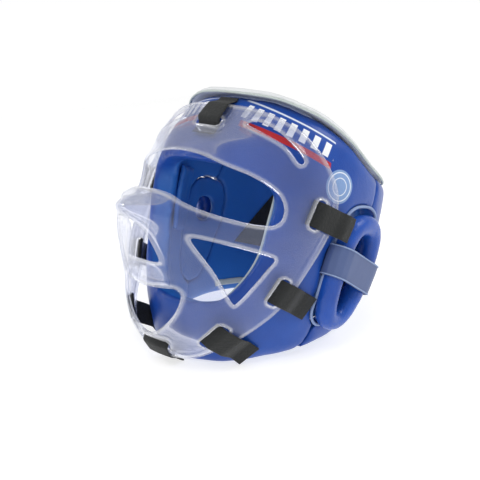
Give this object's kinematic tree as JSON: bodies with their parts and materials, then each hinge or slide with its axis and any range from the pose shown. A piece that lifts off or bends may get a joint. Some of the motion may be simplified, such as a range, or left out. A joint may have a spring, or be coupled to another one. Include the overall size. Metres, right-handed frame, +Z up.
{
  "type": "sparring headgear",
  "caption": "Padded sparring headgear with ear guards, a clear face shield held on by short dark straps, a pale crown and a closing strap at the back.",
  "frame": {"origin": "on the floor under the middle of the headgear, between the chin and the nape edge that it stands on", "axes": "+X to the wearer's left, -Y the way the face looks, +Z up; the headgear is tipped back by 18 degrees from a level head"},
  "size_m": [0.2368, 0.3068, 0.2307],
  "materials": {
    "shell_blue": "smooth grained leather-look foam padding, satin",
    "lining_blue": "smooth lining, satin",
    "guard_blue": "smooth glossy padded tube",
    "band_blue": "flat sewn band, matt",
    "crown_white": "smooth pale padding",
    "binding_grey": "woven edge binding",
    "webbing": "hook-and-loop webbing",
    "clear_plastic": "moulded clear plastic, glossy"
  },
  "bodies": {
    "root": {"padded_shell": "shell_blue", "back_panel_left": "shell_blue", "back_panel_right": "shell_blue", "temple_pad_left": "lining_blue", "temple_pad_right": "lining_blue", "ear_lining_left": "lining_blue", "ear_lining_right": "lining_blue", "nape_binding_left": "binding_grey", "nape_binding_right": "binding_grey", "crown_pad": "crown_white", "ear_guard_left": "guard_blue", "ear_guard_right": "guard_blue", "ear_band_left": "band_blue", "ear_band_right": "band_blue", "back_strap": "webbing", "face_shield": "clear_plastic", "strap_forehead": "webbing", "strap_temple_left": "webbing", "strap_temple_right": "webbing", "strap_cheek_left": "webbing", "strap_cheek_right": "webbing", "strap_jaw_left": "webbing", "strap_jaw_right": "webbing", "strap_chin": "webbing"}
  },
  "joints": []
}
